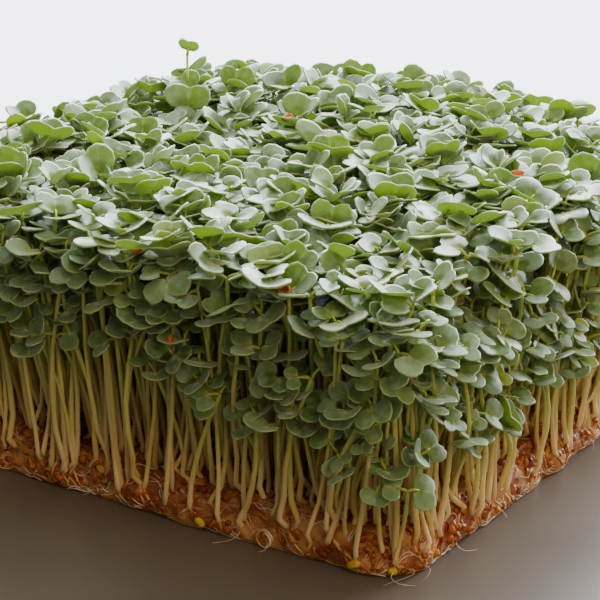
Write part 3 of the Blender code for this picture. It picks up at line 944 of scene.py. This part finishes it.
# A sprout tries several heads and keeps the first whose leaves have room, or else the least crowded
def growSprout(foot, layer, outward, edge):
    best = None
    smaller = min(pairRules["mostLess"], layer / pairRules["lessDepth"])
    pair = newPair(draw.random() < pairRules["flatShare"], pairRules["topSize"] - smaller)
    stray = standRules["heightStray"]
    for attempt in range(standRules["tries"]):
        loose = 1.0 + attempt * standRules["loosen"]
        head = looseHead(foot, outward, edge, loose)
        height = crownHeight(head.x, head.y) - layer + draw.uniform(-stray, stray) * mm * loose
        if edge:
            height = max(standRules["skirtLow"], height)
            lean = outward
            tilt = draw.uniform(*pairRules["skirtTilt"]) * (0.4 + 0.6 * min(1, layer / 0.02))
        else:
            lean = Vector((draw.gauss(0, 1), draw.gauss(0, 1))).normalized()
            tilt = abs(draw.gauss(0, pairRules["crownTilt"]))
        heading = draw.uniform(0, fullTurn)
        top = Vector((head.x, head.y, height))
        places = leafPlaces(top, heading, math.radians(tilt), lean, pair)
        probes = [spot @ point for spot, _, _ in places for point in leafProbe]
        cost = crowding(probes)
        if best is None or cost < best[0]:
            best = (cost, top, places, probes)
        if cost == 0:
            break
    _, top, places, probes = best
    for point in probes:
        taken.setdefault(cellOf(point), []).append(point)
    return top, places


def rowOf(share):
    return min(tufts["rows"] - 1, int(share * tufts["rows"]))


# Feet on a loose grid and more along the rim, each with the row of tufts that it belongs to
def sproutFeet(reachX, reachY):
    countX, countY = standRules["feet"]
    stray = standRules["stray"]
    feet = []
    for i in range(countX):
        for j in range(countY):
            x = reachX * (2 * (i + 0.5 + draw.uniform(-stray, stray)) / countX - 1)
            y = reachY * (2 * (j + 0.5 + draw.uniform(-stray, stray)) / countY - 1)
            feet.append((onMat(x, y)[0], rowOf(j / countY)))
    for _ in range(standRules["extras"]):
        depth = draw.uniform(0, standRules["extraRing"]) * mm
        x, y = onOutline(draw.uniform(0, fullTurn), standRules["inset"] + depth)
        feet.append((onMat(x, y)[0], rowOf((y / reachY + 1) / 2)))
    draw.shuffle(feet)
    return feet


def standSprouts():
    reachX = felt["x"] / 2 - standRules["inset"]
    reachY = felt["y"] / 2 - standRules["inset"]
    depth = standRules["skirtDepth"]
    sprouts = []
    for place, row in sproutFeet(reachX, reachY):
        fromX = reachX - abs(place.x)
        fromY = reachY - abs(place.y)
        edge = min(fromX, fromY) < depth
        outward = Vector((0.0, 0.0))
        if fromX < depth:
            outward.x = math.copysign(1 - fromX / depth + 0.1, place.x)
        if fromY < depth:
            outward.y = math.copysign(1 - fromY / depth + 0.1, place.y)
        outward = outward.normalized() if edge else Vector((1.0, 0.0))
        if edge:  # the skirt hangs lower on the side at +X
            layer = draw.random() * (0.026 + 0.014 * max(0, min(1, place.x / 0.06)))
        else:
            layer = draw.choice(standRules["layers"]) * mm
        ground, _ = topPoint(place.x, place.y)
        into = -upwards
        if min(fromX, fromY) < standRules["rim"] and draw.random() < standRules["rimShare"]:
            beside = place + outward * standRules["rim"] * 1.5
            side = Vector((*beside, draw.uniform(4.0, 9.5) * mm))
            ground, normal, _, _ = feltTree.find_nearest(side)
            into = Vector((-normal.x, -normal.y, -0.7)).normalized()
        top, places = growSprout(place, layer, outward, edge)
        sprouts.append({"foot": ground, "into": into, "top": top, "leaves": places, "row": row})
    ground, _ = topPoint(tall["x"], tall["y"])
    top = Vector((tall["x"], tall["y"], 0)) + tall["top"]
    places = leafPlaces(top, tall["heading"], tall["tilt"], tall["lean"], newPair(False, tall["size"]))
    sprouts.append({"foot": ground, "into": -upwards, "top": top, "leaves": places, "row": tall["row"]})
    return sprouts


stemRules = {
    "root": 2.4 * mm,  # how far a stem goes into the felt
    "rootRadius": 0.3 * mm,
    "knee": (0.3, 2.4),  # how far it leaves the bed sideways, in millimetres
    "kneeUp": 0.045,  # where its bend is widest, as a share of the way up
    "kneeEnd": 0.2,  # where it stands straight again
    "bow": 1.6 * mm,
    "radius": (0.45, 0.66),  # in millimetres
    "taper": (1.18, 0.36),  # times the radius at the foot, and how much less at the tip
    "points": (0.0, 0.045, 0.1, 0.2, 0.4, 0.6, 0.8, 1.0),
}


# Points and radii of a stem that leaves the bed aslant, stands up and bows a little
def stemStrand(foot, into, top):
    points = [(foot + into * stemRules["root"], stemRules["rootRadius"])]
    way = top - foot
    slant = draw.uniform(0, fullTurn)
    knee = Vector((math.cos(slant), math.sin(slant), 0)) * draw.uniform(*stemRules["knee"]) * mm
    bow = Vector((draw.gauss(0, 1), draw.gauss(0, 1), 0)) * stemRules["bow"]
    thick = draw.uniform(*stemRules["radius"]) * mm
    wide, taper = stemRules["taper"]
    for along in stemRules["points"]:
        sideways = Vector((way.x, way.y, 0)) * along ** 1.5
        spot = foot + sideways + Vector((0, 0, way.z * along))
        spot += knee * min(1, along / stemRules["kneeUp"]) * (1 - min(1, along / stemRules["kneeEnd"]))
        spot += bow * math.sin(math.pi * along)
        points.append((spot, thick * (wide - taper * along)))
    return points


stalkRadii = (0.46 * mm, 0.38 * mm, 0.34 * mm, 0.2 * mm)
insideBlade = Vector((1.1 * mm, 0, -0.1 * mm))
variants = leafVariants()
sprouts = standSprouts()
print("sprouts", len(sprouts))
leafMaterial = leafSkin(leafLook)
stemMaterial = stemSkin(stemLook)
stalks = []
for row in range(tufts["rows"]):
    inRow = [sprout for sprout in sprouts if sprout["row"] == row]
    leafCopies, stems = [], []
    for sprout in inRow:
        stems.append(stemStrand(sprout["foot"], sprout["into"], sprout["top"]))
        tone = min(1, max(0, draw.gauss(0.5, 0.24)))
        young = max(0, draw.gauss(-0.25, 0.45)) if draw.random() < 0.5 else 0.0
        shades = {"tone": tone, "young": min(1, young)}
        for spot, middle, end in sprout["leaves"]:
            leafCopies.append((draw.choice(variants), spot, shades))
            stalks.append(list(zip((sprout["top"], middle, end, spot @ insideBlade), stalkRadii)))
    first = row * tufts["columns"] + 1
    nodes = [f"sprouts_{first + column:02d}" for column in range(tufts["columns"])]
    leafMesh = gather("seed_leaves", leafCopies)
    addPiece(f"seed_leaves_row_{row + 1}", leafMesh, leafMaterial, nodes)
    addPiece(f"stems_row_{row + 1}", strandMesh("stems", stems, 1), stemMaterial)
    print("row", row + 1, len(inRow))


# Thick roots that run on from the stems' feet, down and along the mat's side, half sunk in it
def cordStrand(sprout):
    foot = sprout["foot"]
    share = math.atan2(foot.y / felt["y"], foot.x / felt["x"]) / fullTurn
    run = draw.uniform(0.002, 0.010) * draw.choice((-1, 1))
    radius = draw.uniform(0.28, 0.5) * mm
    points = []
    for i in range(8):
        along = i / 7
        level = max(0.8 * mm, foot.z * (1 - along) + 1.2 * mm * along)
        point, normal = sidePoint(share + run * along, level)
        points.append((point + normal * radius * (0.5 - 0.5 * along), radius * (1.1 - 0.6 * along)))
    points[0] = (foot + sprout["into"] * 0.3 * mm, radius)
    return softened(points, 2)


cords = [cordStrand(sprout) for sprout in sprouts if sprout["into"].z > -0.9]
addPiece("root_cords", strandMesh("root_cords", cords, 1),
         rootSkin(rootLook, "stained_root", "#DCA862", "#A85A22"))
addPiece("leaf_stalks", strandMesh("leaf_stalks", stalks), stalkSkin(stalkLook))
print("cords", len(cords), "stalks", len(stalks))


# Seed coats that the leaves lifted off with them still cling to a few, most where the photograph shows one

coatRules = {
    "spots": (
        (0.002, -0.074, 0.064),
        (-0.0775, 0.006, 0.066),
        (-0.018, 0.017, 0.068),
        (0.016, -0.080, 0.045),
        (0.045, -0.080, 0.060),
        (0.051, 0.010, 0.067),
        (-0.050, 0.060, 0.062),
        (0.060, 0.070, 0.064),
        (-0.060, -0.050, 0.066),
    ),
    "reach": 8 * mm,
    "seat": Vector((3.5 * mm, 0, 0)),  # on the blade
    "towardsView": Vector((0.51, -0.78, 0.36)),
    "redSeed": {"share": -0.0403, "height": 9.0 * mm},
}


def coatsOnLeaves():
    seat, towardsView = coatRules["seat"], coatRules["towardsView"]
    blades = [spot for sprout in sprouts for spot, _, _ in sprout["leaves"]]
    made = []
    for goal in coatRules["spots"]:
        ways = [(blade, blade @ seat - Vector(goal)) for blade in blades]
        near = [(blade, way) for blade, way in ways if way.length < coatRules["reach"]]
        blade, _ = max(near, key=lambda found: found[1].dot(towardsView) - found[1].length)
        turn = tipped(0.5)
        rest = Matrix.Translation(Vector((draw.uniform(2.5, 4.0), draw.uniform(-1, 1), 1.0)) * mm)
        made.append((coatForm, blade @ rest @ turn, {"tone": draw.uniform(0.6, 1.0)}))
    point, normal = sidePoint(coatRules["redSeed"]["share"], coatRules["redSeed"]["height"])
    made.append((coatForm, placed(point, normal, -0.3 * mm, 0.4, 1.2), {"tone": 0.2}))
    return made


lateRules = {
    "front": ((-0.012, 2.6), (0.001, 1.9)),  # past the front corner in shares of a turn, and millimetres up
    "onSide": 6,
    "onTop": 14,
    "sizes": (0.85, 1.15),
    "stretch": (1.45, 0.95, 1.0, 1),
}


# Late seeds that have just opened: swollen, yellow, their leaves still folded
def lateSeeds():
    spots = [sidePoint(frontCorner + shift, height * mm) for shift, height in lateRules["front"]]
    for _ in range(lateRules["onSide"]):
        spots.append(sidePoint(draw.random(), draw.uniform(1.9, 9) * mm))
    for _ in range(lateRules["onTop"]):
        angle = draw.uniform(0, fullTurn)
        spots.append(topPoint(*onOutline(angle, draw.uniform(4, 20) * mm)))
    stretch = Matrix.Diagonal(lateRules["stretch"])
    made = []
    for point, normal in spots:
        place = placed(point, normal, -0.2 * mm, 0.6, draw.uniform(*lateRules["sizes"])) @ stretch
        made.append((seedForm, place, {"tone": draw.random() ** 2}))
    return made


addPiece("coats_on_leaves", gather("coats_on_leaves", coatsOnLeaves()),
         seedSkin(seedLook, "dry_seed_coat", "#E07A34", "#B44A1C", 0.3))
addPiece("late_seeds", gather("late_seeds", lateSeeds()),
         seedSkin(seedLook, "opened_seed", "#CE9C40", "#E8CE3C", 0.3))
addPiece("split_seed_coats", gather("split_seed_coats", coatCopies),
         seedSkin(seedLook, "split_seed_coat", "#CC8038", "#843816", 0.35))
print("coats and late seeds done")


# Stage: table, lights and camera

# The photograph looks along this heading, a little down, at a corner of the block
view = {
    "heading": math.radians(33),
    "pitch": math.radians(20.7),
    "lens": 150.0,
    "sensor": 36.0,
    "back": 0.487,  # from the front corner
    "left": 0.0226,
    "height": 0.2514,
}
ahead = Vector((-math.sin(view["heading"]), math.cos(view["heading"]), 0))
right = Vector((math.cos(view["heading"]), math.sin(view["heading"]), 0))

# Places are in metres ahead, right and up, as the camera looks
lights = {
    "window": {
        "place": (1.45, 0.5, 0.75),
        "target": (0, 0, 0.05),
        "size": (2.6, 1.2),
        "watts": 330,
        "colour": "#EEF3FF",
    },
    "ceiling": {
        "place": (0.3, 0, 1.4),
        "target": (0, 0, 0),
        "size": (1.4, 1.4),
        "watts": 15,
        "colour": "#FFFFFF",
    },
    "front_fill": {
        "place": (-1.1, 0.7, 0.9),
        "target": (0.02, 0, 0.03),
        "size": (1.0, 1.0),
        "watts": 12.5,
        "colour": "#FFDDB0",
    },
}
studio = {"colour": "#EEE6DA", "strength": 0.38, "tableHalf": 6.0}


def addLight(name, rule):
    data = bpy.data.lights.new(name, "AREA")
    data.shape = "RECTANGLE"
    data.size, data.size_y = rule["size"]
    data.energy = rule["watts"]
    data.color = srgb(rule["colour"])[:3]
    lamp = bpy.data.objects.new(name, data)
    bpy.context.scene.collection.objects.link(lamp)
    forward, aside, up = rule["place"]
    lamp.location = ahead * forward + right * aside + Vector((0, 0, up))
    aim = Vector(rule["target"]) - lamp.location
    lamp.rotation_euler = aim.to_track_quat("-Z", "Y").to_euler()


def buildStage():
    bm = bmesh.new()
    bmesh.ops.create_grid(bm, x_segments=1, y_segments=1, size=studio["tableHalf"])
    floor = bpy.data.objects.new("table", meshFrom(bm, "table"))
    floor.data.materials.append(tableSkin(tableLook))
    bpy.context.scene.collection.objects.link(floor)
    world = bpy.data.worlds.new("studio")
    bpy.context.scene.world = world
    world.use_nodes = True
    background = world.node_tree.nodes["Background"]
    background.inputs[0].default_value = srgb(studio["colour"])
    background.inputs[1].default_value = studio["strength"]
    for name, rule in lights.items():
        addLight(name, rule)


def placeCamera():
    data = bpy.data.cameras.new("camera")
    data.lens = view["lens"]
    data.sensor_width = view["sensor"]
    data.clip_start = 0.05
    data.clip_end = 20.0
    camera = bpy.data.objects.new("camera", data)
    bpy.context.scene.collection.objects.link(camera)
    corner = Vector((felt["x"] / 2, -felt["y"] / 2, 0))
    raised = Vector((0, 0, view["height"]))
    camera.location = corner - ahead * view["back"] - right * view["left"] + raised
    camera.rotation_euler = Euler((math.pi / 2 - view["pitch"], 0, view["heading"]))
    bpy.context.scene.camera = camera


buildStage()
placeCamera()
print("stage done")
